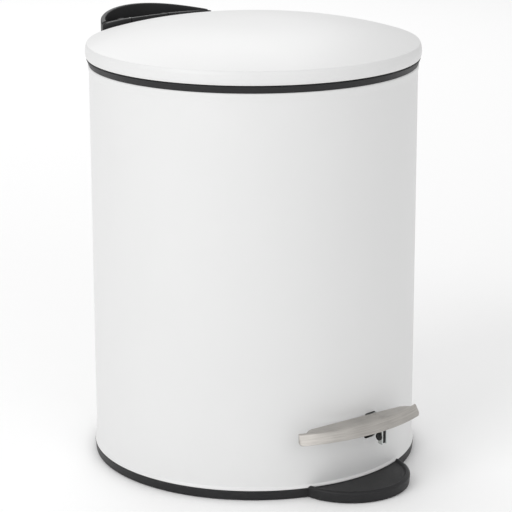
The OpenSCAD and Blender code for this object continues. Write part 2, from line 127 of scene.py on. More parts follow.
def closeUp(piece, gap=0.002 * mm):
    work = bmesh.new()
    work.from_mesh(piece.data)
    bmesh.ops.remove_doubles(work, verts=work.verts, dist=gap)
    bmesh.ops.dissolve_degenerate(work, edges=work.edges, dist=gap)
    bmesh.ops.recalc_face_normals(work, faces=work.faces)
    if work.calc_volume(signed=True) < 0:
        bmesh.ops.reverse_faces(work, faces=work.faces)
    work.to_mesh(piece.data)
    work.free()
    return piece


def cut(piece, tool, how="DIFFERENCE"):
    modifier = piece.modifiers.new("cut", "BOOLEAN")
    modifier.object = tool
    modifier.operation = how
    modifier.solver = "EXACT"
    bakeModifiers(piece)
    bpy.data.objects.remove(tool)
    return piece


def polish(piece, sharp=36.0):
    mesh = piece.data
    mesh.polygons.foreach_set("use_smooth", [True] * len(mesh.polygons))
    mesh.set_sharp_from_angle(angle=math.radians(sharp))
    modifier = piece.modifiers.new("even", "WEIGHTED_NORMAL")
    modifier.keep_sharp = True
    modifier.weight = 90
    return bakeModifiers(piece)


def standFor(piece, *nodes):
    slot = slotOfNode[nodes[0]]
    if not piece.data.materials or piece.data.materials[0] is None:
        piece.data.materials.clear()
        piece.data.materials.append(finishes[slot])
    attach(piece, bodyOfNode[nodes[0]])
    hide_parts(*nodes)
    return piece


def roundedOutline(corners, closed=True, steps=5):
    outline = []
    for i, (x, z, radius) in enumerate(corners):
        here = Vector((x, z))
        if radius == 0 or (not closed and i in (0, len(corners) - 1)):
            outline.append(here)
            continue
        before = Vector(corners[i - 1][:2]) - here
        after = Vector(corners[(i + 1) % len(corners)][:2]) - here
        half = before.angle(after) / 2
        reach = min(radius / math.tan(half), 0.49 * before.length, 0.49 * after.length)
        before, after = before.normalized(), after.normalized()
        centre = here + (before + after).normalized() * reach / math.cos(half)
        start, end = here + before * reach - centre, here + after * reach - centre
        outline += [centre + start.slerp(end, k / steps).normalized() * start.length
                    for k in range(steps + 1)]
    return outline


def boxTool(low, high, rounding=0.0, axis="Y"):
    size = Vector(high) - Vector(low)
    middle = (Vector(high) + Vector(low)) / 2
    work = bmesh.new()
    bmesh.ops.create_cube(work, size=1)
    bmesh.ops.scale(work, vec=size, verts=work.verts)
    if rounding:
        index = "XYZ".index(axis)
        along = [e for e in work.edges
                 if abs(abs((e.verts[0].co - e.verts[1].co)[index]) - size[index]) < mm * 0.01]
        bmesh.ops.bevel(work, geom=along, offset=rounding, segments=8, profile=0.5, affect="EDGES")
    bmesh.ops.translate(work, vec=middle, verts=work.verts)
    bmesh.ops.recalc_face_normals(work, faces=work.faces)
    mesh = bpy.data.meshes.new("tool")
    work.to_mesh(mesh)
    work.free()
    return showObject("tool", mesh)


# Finishes. Each one reads object coordinates, so a pattern stays on its piece.

def blankFinish(name):
    material = bpy.data.materials.new(name)
    material.use_nodes = True
    tree = material.node_tree
    shader = tree.nodes["Principled BSDF"]
    place = addNode(tree, "ShaderNodeTexCoord").outputs["Object"]
    return material, tree, shader, place


def noise(tree, place, scale, detail=2.0, rough=0.5):
    made = addNode(tree, "ShaderNodeTexNoise", {"Vector": place, "Scale": scale, "Detail": detail,
                                                "Roughness": rough})
    return made.outputs["Fac"]


def between(tree, amount, low, high, start=0.3, end=0.7):
    return addNode(tree, "ShaderNodeMapRange", {"Value": amount, "From Min": start, "From Max": end,
                                                "To Min": low, "To Max": high}).outputs["Result"]


def tint(tree, amount, dark, light):
    mixed = addNode(tree, "ShaderNodeMix", {0: amount, 6: (*dark, 1), 7: (*light, 1)},
                    data_type="RGBA")
    return mixed.outputs[2]


def bump(tree, shader, height, strength, distance):
    raised = addNode(tree, "ShaderNodeBump", {"Strength": strength, "Distance": distance, "Height": height})
    tree.links.new(raised.outputs["Normal"], shader.inputs["Normal"])


def powderCoat(name):
    look = {"dark": (0.715, 0.716, 0.715), "light": (0.745, 0.746, 0.744), "cloud": 16, "peel": 850,
            "rough": (0.36, 0.44), "depth": 0.02 * mm}
    material, tree, shader, place = blankFinish(name)
    cloud = noise(tree, place, look["cloud"], 3)
    peel = noise(tree, place, look["peel"], 1)
    tree.links.new(tint(tree, cloud, look["dark"], look["light"]), shader.inputs["Base Color"])
    tree.links.new(between(tree, cloud, *look["rough"]), shader.inputs["Roughness"])
    bump(tree, shader, peel, 0.25, look["depth"])
    return material


def mouldedPlastic(name, dark, light, rough, gloss=0.5, grain=1400, depth=0.03 * mm):
    material, tree, shader, place = blankFinish(name)
    shader.inputs["Specular IOR Level"].default_value = gloss
    cloud = noise(tree, place, 30, 4)
    fine = noise(tree, place, grain, 2)
    tree.links.new(tint(tree, cloud, dark, light), shader.inputs["Base Color"])
    spread = mathNode(tree, "ADD", mathNode(tree, "MULTIPLY", cloud, 0.6),
                      mathNode(tree, "MULTIPLY", fine, 0.4))
    tree.links.new(between(tree, spread, rough[0], rough[1]), shader.inputs["Roughness"])
    bump(tree, shader, fine, 0.5, depth)
    return material


def softRubber(name):
    material, tree, shader, place = blankFinish(name)
    cloud = noise(tree, place, 90, 5)
    pores = noise(tree, place, 2200, 2)
    tree.links.new(tint(tree, cloud, (0.010, 0.010, 0.011), (0.026, 0.025, 0.024)),
                   shader.inputs["Base Color"])
    tree.links.new(between(tree, cloud, 0.62, 0.82), shader.inputs["Roughness"])
    bump(tree, shader, pores, 0.6, 0.04 * mm)
    return material


def zincPlate(name):
    look = {"dark": (0.47, 0.50, 0.50), "light": (0.62, 0.64, 0.62), "warm": (0.60, 0.58, 0.50)}
    material, tree, shader, place = blankFinish(name)
    cloud = noise(tree, place, 45, 4, 0.6)
    stain = noise(tree, place, 110, 3)
    grain = addNode(tree, "ShaderNodeMapping", {"Vector": place, "Scale": (3200, 160, 3200)})
    streaks = noise(tree, grain.outputs[0], 1, 3)
    metal = tint(tree, between(tree, cloud, 0, 1), look["dark"], look["light"])
    warmed = addNode(tree, "ShaderNodeMix", {0: between(tree, stain, 0, 0.45, 0.5, 0.75), 6: metal,
                                             7: (*look["warm"], 1)}, data_type="RGBA").outputs[2]
    tree.links.new(warmed, shader.inputs["Base Color"])
    shader.inputs["Metallic"].default_value = 1
    tree.links.new(between(tree, mathNode(tree, "ADD", mathNode(tree, "MULTIPLY", streaks, 0.5),
                                          mathNode(tree, "MULTIPLY", cloud, 0.5)), 0.26, 0.46),
                   shader.inputs["Roughness"])
    bump(tree, shader, streaks, 0.25, 0.012 * mm)
    return material


def brushedSteel(name):
    look = {"dark": (0.38, 0.362, 0.34), "light": (0.61, 0.585, 0.55), "across": 3000, "along": 6,
            "sweep": 8}
    material, tree, shader, place = blankFinish(name)
    axes = addNode(tree, "ShaderNodeSeparateXYZ", {0: place}).outputs
    square = mathNode(tree, "ADD", mathNode(tree, "MULTIPLY", axes[0], axes[0]),
                      mathNode(tree, "MULTIPLY", axes[1], axes[1]))
    radius = mathNode(tree, "SQRT", square)
    angle = mathNode(tree, "ARCTAN2", axes[0], mathNode(tree, "MULTIPLY", axes[1], -1))
    lines = addNode(tree, "ShaderNodeCombineXYZ", {
        0: mathNode(tree, "MULTIPLY", radius, look["across"]),
        1: mathNode(tree, "MULTIPLY", angle, look["along"]),
        2: mathNode(tree, "MULTIPLY", axes[2], look["across"])}).outputs[0]
    streaks = noise(tree, lines, 1, 4, 0.65)
    wear = noise(tree, place, 70, 4)
    # Painted reflection: soft bright and dark bands that change around the arc and with height stand in for the
    # lip's reflected bands; they make a quarter of the colour, the brushing streaks the rest.
    sweep = addNode(tree, "ShaderNodeCombineXYZ", {0: mathNode(tree, "MULTIPLY", angle, look["sweep"]),
                                                   2: mathNode(tree, "MULTIPLY", axes[2], 90)}).outputs[0]
    paintedReflectionBands = between(tree, noise(tree, sweep, 1, 1), 0, 1, 0.35, 0.65)
    shade = mathNode(tree, "ADD", mathNode(tree, "MULTIPLY", between(tree, streaks, 0, 1), 0.75),
                     mathNode(tree, "MULTIPLY", paintedReflectionBands, 0.25))
    tree.links.new(tint(tree, shade, look["dark"], look["light"]), shader.inputs["Base Color"])
    shader.inputs["Metallic"].default_value = 1
    shader.inputs["Anisotropic"].default_value = 0.4
    tree.links.new(between(tree, mathNode(tree, "ADD", mathNode(tree, "MULTIPLY", streaks, 0.6),
                                          mathNode(tree, "MULTIPLY", wear, 0.4)), 0.26, 0.4),
                   shader.inputs["Roughness"])
    bump(tree, shader, streaks, 0.25, 0.008 * mm)
    return material


finishes = {
    "white_coat": powderCoat("powderCoat"),
    "black_plastic": mouldedPlastic("blackPlastic", (0.012, 0.012, 0.013), (0.021, 0.021, 0.022),
                                    (0.40, 0.56), 0.28),
    "bucket_plastic": mouldedPlastic("bucketPlastic", (0.028, 0.028, 0.030), (0.042, 0.042, 0.044),
                                     (0.42, 0.56), 0.4),
    "white_plastic": mouldedPlastic("nylon", (0.70, 0.69, 0.65), (0.77, 0.765, 0.73), (0.40, 0.52)),
    "rubber": softRubber("softRubber"),
    "zinc_steel": zincPlate("zincPlate"),
    "stainless": brushedSteel("brushedSteel"),
}
print("finishes:", len(finishes))


# Node trees that the pieces share

def latheTree():
    tree, given = newTree("lathe", [("Steps", "Int"), ("Radius", "Float"), ("Finish", "Material")])
    outline = addNode(tree, "GeometryNodeMeshToCurve", {"Mesh": given["Geometry"]})
    shift = addNode(tree, "ShaderNodeCombineXYZ", {"X": mathNode(tree, "MULTIPLY", given["Radius"], -1)})
    flat = addNode(tree, "GeometryNodeTransform", {
        "Geometry": outline.outputs[0], "Translation": shift.outputs[0],
        "Rotation": Euler((math.pi / 2, 0, 0))})
    ring = addNode(tree, "GeometryNodeCurvePrimitiveCircle", {"Resolution": given["Steps"],
                                                              "Radius": given["Radius"]})
    turned = addNode(tree, "GeometryNodeCurveToMesh", {"Curve": ring.outputs[0],
                                                       "Profile Curve": flat.outputs[0]})
    merged = addNode(tree, "GeometryNodeMergeByDistance", {"Geometry": turned.outputs[0],
                                                           "Distance": 0.001 * mm})
    return closeTree(tree, merged.outputs[0], given["Finish"])


lathe = latheTree()


def turn(name, corners, finish, steps=180, closed=True, arcSteps=5):
    outline = roundedOutline(corners, closed, arcSteps)
    count = len(outline)
    edges = [(i, i + 1) for i in range(count - 1)] + ([(count - 1, 0)] if closed else [])
    radius = max(point.x for point in outline)
    piece = grow(name, lathe, [(p.x, 0, p.y) for p in outline], edges,
                 {"Steps": steps, "Radius": radius, "Finish": finish})
    return closeUp(piece)


def move(piece, x=0.0, y=0.0, z=0.0):
    for vertex in piece.data.vertices:
        vertex.co += Vector((x, y, z))
    return piece


def wireTree():
    tree, given = newTree("wire", [("Wire radius", "Float"), ("Bend radius", "Float"),
                                   ("Finish", "Material")])
    route = addNode(tree, "GeometryNodeMeshToCurve", {"Mesh": given["Geometry"]})
    bent = addNode(tree, "GeometryNodeFilletCurve", {
        "Curve": route.outputs[0], "Radius": given["Bend radius"], "Limit Radius": True, "Count": 6},
        mode="POLY")
    section = addNode(tree, "GeometryNodeCurvePrimitiveCircle", {"Resolution": 24,
                                                                 "Radius": given["Wire radius"]})
    swept = addNode(tree, "GeometryNodeCurveToMesh", {"Curve": bent.outputs[0], "Fill Caps": True,
                                                      "Profile Curve": section.outputs[0]})
    return closeTree(tree, swept.outputs[0], given["Finish"])


def studTree():
    tree, given = newTree("studs", [("Stud", "Object"), ("Tilt", "Vector"), ("Finish", "Material")])
    stud = addNode(tree, "GeometryNodeObjectInfo", {"Object": given["Stud"]}, transform_space="ORIGINAL")
    placed = addNode(tree, "GeometryNodeInstanceOnPoints", {
        "Points": given["Geometry"], "Instance": stud.outputs["Geometry"],
        "Rotation": addNode(tree, "FunctionNodeEulerToRotation", {"Euler": given["Tilt"]}).outputs[0]})
    return closeTree(tree, placed.outputs[0], given["Finish"])


wire = wireTree()
studs = studTree()


def repeat(name, stud, places, tilt, finish):
    piece = grow(name, studs, places, [], {"Stud": stud, "Tilt": tilt, "Finish": finish})
    bpy.data.objects.remove(stud)
    return piece


def softened(name, node, width, bend=32.0, segments=3):
    source = frame["nodes"][node].data
    mesh = bpy.data.meshes.new(name)
    mesh.from_pydata([v.co for v in source.vertices], [], [tuple(p.vertices) for p in source.polygons])
    work = bmesh.new()
    work.from_mesh(mesh)
    bmesh.ops.remove_doubles(work, verts=work.verts, dist=0.001 * mm)
    bmesh.ops.dissolve_limit(work, angle_limit=math.radians(0.3), verts=work.verts, edges=work.edges)
    if width:
        corners = [e for e in work.edges if e.is_manifold and e.calc_face_angle() > math.radians(bend)]
        bmesh.ops.bevel(work, geom=corners, offset=width, segments=segments, profile=0.5,
                        affect="EDGES", clamp_overlap=False, loop_slide=True)
    work.to_mesh(mesh)
    work.free()
    return polish(showObject(name, mesh))


# White coated shell with its rolled bead, flared foot, back seam and the lever's slot

shellSizes = {"wall": 0.8 * mm, "flare": 1.1 * mm, "flareHeight": 4 * mm, "bead": 0.5 * mm,
              "beadHeight": 2.4 * mm, "hem": 0.3 * mm, "slotHalf": 5.1 * mm, "slotLow": 29.3 * mm,
              "slotHigh": 45.4 * mm, "slotCorner": 2 * mm, "seamHalf": 3.2 * mm, "seamRise": 0.35 * mm}
rearNotch = {"left": 3.6 * mm, "right": 14.4 * mm}


def makeShell():
    size = shellSizes
    outside = shellHigh.x - size["flare"]
    inside = outside - size["wall"]
    low, high = shellLow.z, shellHigh.z
    bead = high - size["beadHeight"]
    corners = [(inside, low, 0.1 * mm), (outside + size["flare"], low, size["hem"]),
               (outside + size["flare"], low + 0.7 * mm, size["hem"]),
               (outside + 0.1 * mm, low + 1.9 * mm, 1.2 * mm),
               (outside, low + size["flareHeight"] + 2 * mm, 8 * mm)]
    corners += [(outside, low + (bead - low) * k / 12, 0) for k in range(1, 11)]
    corners += [(outside, bead - 2.2 * mm, 9 * mm), (outside + size["bead"], bead + 0.9 * mm, 2.5 * mm),
                (outside + size["bead"], high - 0.5 * mm, 0.7 * mm), (outside, high, 0.1 * mm),
                (inside, high, 0.1 * mm)]
    piece = turn("bodyShell", corners, finishes["white_coat"], steps=360)
    for vertex in piece.data.vertices:
        across = abs(vertex.co.x) / size["seamHalf"]
        if vertex.co.y > 0 and across < 1 and low + 6 * mm < vertex.co.z < bead - 1 * mm:
            rise = size["seamRise"] * min(1, 2.5 * (1 - across))
            vertex.co.y += rise
    slot = boxTool((driveX - size["slotHalf"], -outside - 9 * mm, size["slotLow"]),
                   (driveX + size["slotHalf"], -inside + 9 * mm, size["slotHigh"]), size["slotCorner"])
    cut(piece, slot)
    notch = boxTool((rearNotch["left"], inside - 20 * mm, high - 11 * mm),
                    (rearNotch["right"], outside + 9 * mm, high + 9 * mm))
    cut(piece, notch)
    return standFor(polish(piece), "body_shell")


makeShell()


# Black rim that the lid closes on

rimSizes = {"wall": 1.4 * mm, "drop": 8 * mm, "ledge": 2.7 * mm, "lead": 0.6 * mm, "out": 1.5 * mm}


def makeRim():
    size = rimSizes
    shellIn = rimLow.x * -1 - size["out"] - shellSizes["wall"]
    top, seat = rimHigh.z, rimHigh.z - size["ledge"]
    seatRadius = bucketHigh.x + 0.6 * mm
    inner = seatRadius - 3 * mm
    joint = shellHigh.z
    corners = [(shellIn, joint - size["drop"], 0.4 * mm), (shellIn, joint, 0),
               (shellIn + shellSizes["wall"], joint, 0.2 * mm),
               (rimHigh.x - 0.3 * mm, top - 1.2 * mm, 0.8 * mm), (rimHigh.x, top - 0.5 * mm, 0.3 * mm),
               (rimHigh.x - 0.4 * mm, top, 0.4 * mm), (seatRadius + size["lead"], top, 0.5 * mm),
               (seatRadius, seat, 0.3 * mm), (inner, seat, 0.4 * mm), (inner, seat - 2 * mm, 0.4 * mm),
               (shellIn - size["wall"], seat - 2 * mm, 0.6 * mm),
               (shellIn - size["wall"], joint - size["drop"], 0.4 * mm)]
    piece = turn("topRim", corners, finishes["black_plastic"])
    cut(piece, boxTool((rearNotch["left"], seatRadius - 0.6 * mm, joint - 9 * mm),
                       (rearNotch["right"], rimHigh.x + 9 * mm, top + 9 * mm)))
    return standFor(polish(piece), "top_rim")


makeRim()


# Black base ring with the front foot in one moulding

baseSizes = {"ring": 6 * mm, "draft": 0.7 * mm, "floor": 2.6 * mm, "collar": 7 * mm, "collarWall": 2 * mm,
             "foot": 37.5 * mm, "footHeight": 7.2 * mm, "edge": 3.4 * mm, "dip": 1.4 * mm,
             "pad": 7 * mm, "padDepth": 1.6 * mm, "padPlace": 79 * mm, "clear": 40 * mm, "pass": 9 * mm}


def makeBase():
    size = baseSizes
    outer = baseHigh.x
    shellIn = shellHigh.x - shellSizes["flare"] - shellSizes["wall"]
    shellFoot = shellHigh.x + 0.1 * mm
    collarIn = shellIn - size["collarWall"]
    grooves = []
    for k in range(4):
        groove = (30 + 16 * k) * mm
        grooves += [(groove, 0, 0.2 * mm), (groove + 0.5 * mm, 0.6 * mm, 0.2 * mm),
                    (groove + 1.3 * mm, 0.6 * mm, 0.2 * mm), (groove + 1.8 * mm, 0, 0.2 * mm)]
    corners = [(0, 0, 0)] + grooves + [
        (outer - size["draft"], 0, 0.6 * mm), (outer, size["ring"], 0.5 * mm),
        (shellIn, size["ring"], 0.1 * mm), (shellIn, size["ring"] + size["collar"], 0.5 * mm),
        (collarIn, size["ring"] + size["collar"], 0.5 * mm),
        (collarIn, size["floor"], 1 * mm), (0, size["floor"], 0)]
    piece = turn("basePan", corners, finishes["black_plastic"], closed=False)
    foot, height = size["foot"], size["footHeight"]
    shoe = turn("shoe", [
        (0, 0, 0), (foot - 0.5 * mm, 0, 0.8 * mm), (foot, height - 1 * mm, 1.5 * mm),
        (foot - 1.4 * mm, height, 1.2 * mm), (foot - size["edge"] + 0.9 * mm, height, 0.8 * mm),
        (foot - size["edge"], height - size["dip"], 0.7 * mm), (0, height - size["dip"], 0)],
        finishes["black_plastic"], closed=False, arcSteps=6)
    move(shoe, y=baseLow.y + foot)
    ledge = size["ring"] - 0.3 * mm
    room = turn("room", [(0, -1 * mm, 0), (outer - 1.4 * mm, -1 * mm, 0), (outer - 1.4 * mm, ledge, 0),
                         (shellFoot, ledge, 0), (shellFoot, size["clear"], 0), (0, size["clear"], 0)],
                finishes["black_plastic"], closed=False)
    cut(shoe, room)
    cut(piece, shoe, "UNION")
    left, right = driveX - size["pass"], driveX + size["pass"]
    cut(piece, boxTool((left, shellIn - 13 * mm, size["floor"]), (right, shellIn + 0.5 * mm, size["clear"])))
    cut(piece, boxTool((left, -shellIn - 0.5 * mm, size["ring"]),
                       (right, -collarIn + 9 * mm, size["clear"])))
    for k in range(4):
        recess = turn("recess", [(0, -1 * mm, 0), (size["pad"], -1 * mm, 0),
                                 (size["pad"], size["padDepth"], 0.2 * mm), (0, size["padDepth"], 0)],
                      finishes["black_plastic"], steps=48, closed=False)
        angle = math.radians(45 + 90 * k)
        cut(piece, move(recess, size["padPlace"] * math.cos(angle), size["padPlace"] * math.sin(angle)))
    return standFor(polish(piece), "base_pan")


makeBase()


def makePads():
    radius, depth = baseSizes["pad"] - 0.05 * mm, baseSizes["padDepth"]
    corners = [(0, 0.2 * mm, 0), (1.5 * mm, 0.2 * mm, 0.1 * mm), (1.8 * mm, 0, 0.1 * mm),
               (3.3 * mm, 0, 0.1 * mm), (3.6 * mm, 0.3 * mm, 0.1 * mm), (4.3 * mm, 0.3 * mm, 0.1 * mm),
               (4.6 * mm, 0, 0.1 * mm),
               (radius, 0, 0.3 * mm), (radius, depth, 0), (0, depth, 0)]
    pad = polish(turn("pad", corners, finishes["rubber"], steps=48, closed=False, arcSteps=2))
    places = [(baseSizes["padPlace"] * math.cos(math.radians(45 + 90 * k)),
               baseSizes["padPlace"] * math.sin(math.radians(45 + 90 * k)), 0) for k in range(4)]
    return standFor(repeat("rubberPads", pad, places, (0, 0, 0), finishes["rubber"]), "rubber_pads")


makePads()
print("body and base made")


# Domed lid, pressed from one sheet

lidSizes = {"dome": 12 * mm, "skirt": 8.3 * mm, "full": 2.7, "creaseIn": 1.2 * mm, "wall": 0.8 * mm,
            "armRoom": 13.6 * mm}


def makeLid():
    size = lidSizes
    low, crease = lidLow.z, lidLow.z + size["skirt"]
    out, rim = lidHigh.x, lidHigh.x - size["creaseIn"]
    wall = size["wall"]

    def dome(radius):
        return crease + size["dome"] * (1 - (radius / rim) ** size["full"])

    turns = [math.radians(4 + 86 * k / 26) for k in range(27)]
    corners = [(0, dome(0), 0)] + [(rim * math.sin(t), dome(rim * math.sin(t)), 0) for t in turns[:-1]]
    corners += [(rim, crease, 0.5 * mm), (rim + 0.35 * mm, crease - 0.55 * mm, 0.4 * mm),
                (out - 0.3 * mm, crease - 2.2 * mm, 1.5 * mm), (out, low + 3.6 * mm, 3 * mm),
                (out - 0.1 * mm, low + 1.6 * mm, 1.5 * mm), (out - 0.6 * mm, low, 0.35 * mm),
                (out - 0.6 * mm - wall, low, 0.3 * mm), (out - wall, low + 3.4 * mm, 0.5 * mm),
                (out - 0.3 * mm - wall, low + 5.4 * mm, 0.8 * mm)]
    inner = rim - wall
    depth = wall * 1.1
    corners += [(inner * math.sin(t), dome(inner * math.sin(t)) - depth, 0) for t in turns[::-1]]
    corners += [(0, dome(0) - depth, 0)]
    piece = turn("lidShell", corners, finishes["white_coat"], steps=240, closed=False)
    half = size["armRoom"]
    cut(piece, boxTool((-half, 60 * mm, low - 1 * mm), (half, 140 * mm, low + 4.8 * mm), 0.8 * mm))
    return standFor(polish(piece), "lid_shell")


makeLid()


# Lift-out bucket with a seating flange and rings in its floor

bucketSizes = {"wall": 1.8 * mm, "taper": 8 * mm, "flange": 3 * mm, "eyeDrop": 13 * mm, "eye": 1.55 * mm}


def makeBucket():
    size = bucketSizes
    low, top = bucketLow.z, bucketHigh.z
    wall = size["wall"]
    upper = bucketHigh.x - size["flange"]
    lower = upper - size["taper"]
    seat = top - wall

    def side(height):
        return lower + size["taper"] * (height - low - 2 * mm) / (seat - low - 2 * mm)

    corners = [(0, low + 0.6 * mm, 0), (18 * mm, low + 0.6 * mm, 0.4 * mm), (18.6 * mm, low, 0.3 * mm),
               (lower - 2.4 * mm, low, 3 * mm), (side(low + 3 * mm), low + 3 * mm, 3 * mm)]
    corners += [(side(low + (seat - low) * k / 8), low + (seat - low) * k / 8, 0) for k in range(1, 8)]
    corners += [(upper, seat, 0.5 * mm), (bucketHigh.x, seat, 0.4 * mm), (bucketHigh.x, top, 0.8 * mm),
                (upper - wall, top, 1.0 * mm), (side(seat - 8 * mm) - wall, seat - 8 * mm, 0)]
    heights = [low + (seat - low) * k / 8 for k in range(7, 0, -1)]
    corners += [(side(height) - wall, height, 0) for height in heights]
    corners += [(lower - wall - 0.2 * mm, low + wall + 2 * mm, 3 * mm)]
    for radius in (62, 46, 30):
        ridge = low + wall + 0.5 * mm
        corners += [((radius + 1.6) * mm, low + wall, 0.2 * mm), ((radius + 1.1) * mm, ridge, 0.2 * mm),
                    (radius * mm, ridge, 0.2 * mm), ((radius - 0.5) * mm, low + wall, 0.2 * mm)]
    corners += [(0, low + wall, 0)]
    piece = turn("innerBucket", corners, finishes["bucket_plastic"], closed=False)
    eyeHeight = top - size["eyeDrop"]
    eye = grow("eye", wire, [(-120 * mm, 0, eyeHeight), (120 * mm, 0, eyeHeight)], [(0, 1)],
               {"Wire radius": size["eye"], "Bend radius": 0.0, "Finish": finishes["bucket_plastic"]})
    cut(piece, closeUp(eye))
    return standFor(polish(piece), "inner_bucket")


makeBucket()


def makeBail():
    size = {"wire": 1.5 * mm, "bend": 3 * mm, "steps": 48}
    low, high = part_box("bucket_handle")
    height = (low.z + high.z) / 2
    bow = -low.y - size["wire"]
    end = high.x
    route = [(-end, 0, height), (-bow, 0, height)]
    angles = [math.pi * k / size["steps"] for k in range(2, size["steps"] - 1)]
    route += [(-bow * math.cos(a), -bow * math.sin(a), height) for a in angles]
    route += [(bow, 0, height), (end, 0, height)]
    piece = grow("bucketHandle", wire, route, [(k, k + 1) for k in range(len(route) - 1)],
                 {"Wire radius": size["wire"], "Bend radius": size["bend"],
                  "Finish": finishes["zinc_steel"]})
    return standFor(polish(closeUp(piece)), "bucket_handle")


makeBail()


def makeGrip():
    size = {"radius": 2.85 * mm, "bore": 1.5 * mm, "groove": 0.35 * mm, "rings": 9, "half": 20.0,
            "sides": 24}
    low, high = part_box("bucket_handle")
    height, bow = (low.z + high.z) / 2, -low.y - size["bore"]
    count = size["rings"] * 6 + 1
    sides = range(size["sides"])
    work = bmesh.new()

    def circle(radius, degrees):
        angle = math.radians(degrees)
        ring = []
        for k in sides:
            around = 2 * math.pi * k / size["sides"]
            out = bow + radius * math.cos(around)
            place = (out * math.cos(angle), out * math.sin(angle), height + radius * math.sin(around))
            ring.append(work.verts.new(place))
        return ring

    def join(first, second):
        for k in sides:
            after = (k + 1) % size["sides"]
            work.faces.new((first[k], first[after], second[after], second[k]))

    rows = []
    for i in range(count):
        edge = min(i, count - 1 - i)
        grooved = size["groove"] if i % 6 in (0, 1) and edge > 2 else 0
        rounded = 0.5 * mm if edge == 0 else 0
        degrees = -90 - size["half"] + 2 * size["half"] * i / (count - 1)
        rows.append(circle(size["radius"] - grooved - rounded, degrees))
    for first, second in zip(rows, rows[1:]):
        join(first, second)
    bores = [circle(size["bore"], -90 - size["half"]), circle(size["bore"], -90 + size["half"])]
    join(rows[0], bores[0])
    join(rows[-1], bores[1])
    join(bores[0], bores[1])
    mesh = bpy.data.meshes.new("handleGrip")
    work.to_mesh(mesh)
    work.free()
    return standFor(polish(closeUp(showObject("handleGrip", mesh))), "handle_grip")


makeGrip()
print("lid, bucket and bail made")


# Fasteners: one turned head, repeated where the frame has them

def makeHead(name, shank, head, rise, length, finish, recess=True, tail=0.0, tailRadius=0.0):
    corners = [(0, -length, 0)]
    if tail:
        corners = [(0, -length - tail, 0), (tailRadius, -length - tail, 0.2 * mm),
                   (tailRadius, -length, 0.1 * mm)]
    corners += [(shank, -length, 0.1 * mm), (shank, 0, 0), (head, 0, 0.1 * mm),
                (head * 0.94, rise * 0.62, 0.3 * mm), (head * 0.6, rise, 0.5 * mm), (0, rise, 0)]
    stud = turn(name, corners, finish, steps=40, closed=False, arcSteps=3)
    if recess:
        for turned in (0, 1):
            half = (head * 0.55, 0.28 * mm) if turned == 0 else (0.28 * mm, head * 0.55)
            cut(stud, boxTool((-half[0], -half[1], rise * 0.35), (half[0], half[1], rise + 1 * mm)))
    return polish(stud)


def nodeHeads(node, axis, side):
    work = bmesh.new()
    work.from_mesh(frame["nodes"][node].data)
    bmesh.ops.remove_doubles(work, verts=work.verts, dist=0.001 * mm)
    left, places = set(work.verts), []
    while left:
        island, front = set(), [left.pop()]
        while front:
            vertex = front.pop()
            island.add(vertex)
            for edge in vertex.link_edges:
                other = edge.other_vert(vertex)
                if other in left:
                    left.discard(other)
                    front.append(other)
        low = Vector([min(v.co[i] for v in island) for i in range(3)])
        high = Vector([max(v.co[i] for v in island) for i in range(3)])
        middle = (low + high) / 2
        middle[axis] = high[axis] if side > 0 else low[axis]
        places.append(middle)
    work.free()
    return sorted(places, key=tuple)


def makeFasteners():
    zinc, steel = finishes["zinc_steel"], finishes["stainless"]
    screw = makeHead("screw", 1.5 * mm, 2.9 * mm, 1.9 * mm, 3.2 * mm, zinc)
    places = [p - Vector((0, 0, 1.9 * mm)) for p in nodeHeads("bracket_screws", 2, 1)]
    standFor(repeat("bracketScrews", screw, places, (0, 0, 0), zinc), "bracket_screws")
    low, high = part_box("housing_screws")
    screw = makeHead("screw", 1.6 * mm, 3.2 * mm, 1.9 * mm, high.y - low.y - 1.9 * mm, zinc)
    places = [p + Vector((0, 1.9 * mm, 0)) for p in nodeHeads("housing_screws", 1, -1)]
    standFor(repeat("housingScrews", screw, places, (math.pi / 2, 0, 0), zinc), "housing_screws")
    rivet = makeHead("rivet", 1.5 * mm, 2.6 * mm, 0.9 * mm, 4.3 * mm, zinc, False, 0.7 * mm, 2.6 * mm)
    places = [p - Vector((0, 0, 0.9 * mm)) for p in nodeHeads("arm_rivets", 2, 1)]
    standFor(repeat("armRivets", rivet, places, (0, 0, 0), zinc), "arm_rivets")
    rivet = makeHead("rivet", 1.3 * mm, 2.2 * mm, 0.12 * mm, 2.4 * mm, steel, False)
    places = [p - Vector((0, 0, 0.4 * mm)) for p in nodeHeads("pedal_rivets", 2, 1)]
    standFor(repeat("pedalRivets", rivet, places, (0, 0, 0), steel), "pedal_rivets")
    low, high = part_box("lid_buffers")
    height = high.z - low.z
    corners = [(0, 0, 0), (2.2 * mm, 0, 0.6 * mm), (3 * mm, 1 * mm, 0.6 * mm), (3 * mm, height, 0),
               (0, height, 0)]
    buffer = polish(turn("buffer", corners, finishes["rubber"], steps=40, closed=False))
    places = nodeHeads("lid_buffers", 2, -1)
    standFor(repeat("lidBuffers", buffer, places, (0, 0, 0), finishes["rubber"]), "lid_buffers")


makeFasteners()
print("fasteners made")


# Pedal plate: one folded sheet with a straight back edge, its lip running on past the ends

pedalSizes = {"sheet": 1.2 * mm, "back": 103.6 * mm, "front": 116 * mm, "corner": 9 * mm, "half": 21.0,
              "tail": 2.0, "turned": -3.5, "fold": 1.8 * mm, "lip": 6.6 * mm, "lean": 2.4 * mm,
              "lipCorner": 2.2 * mm}


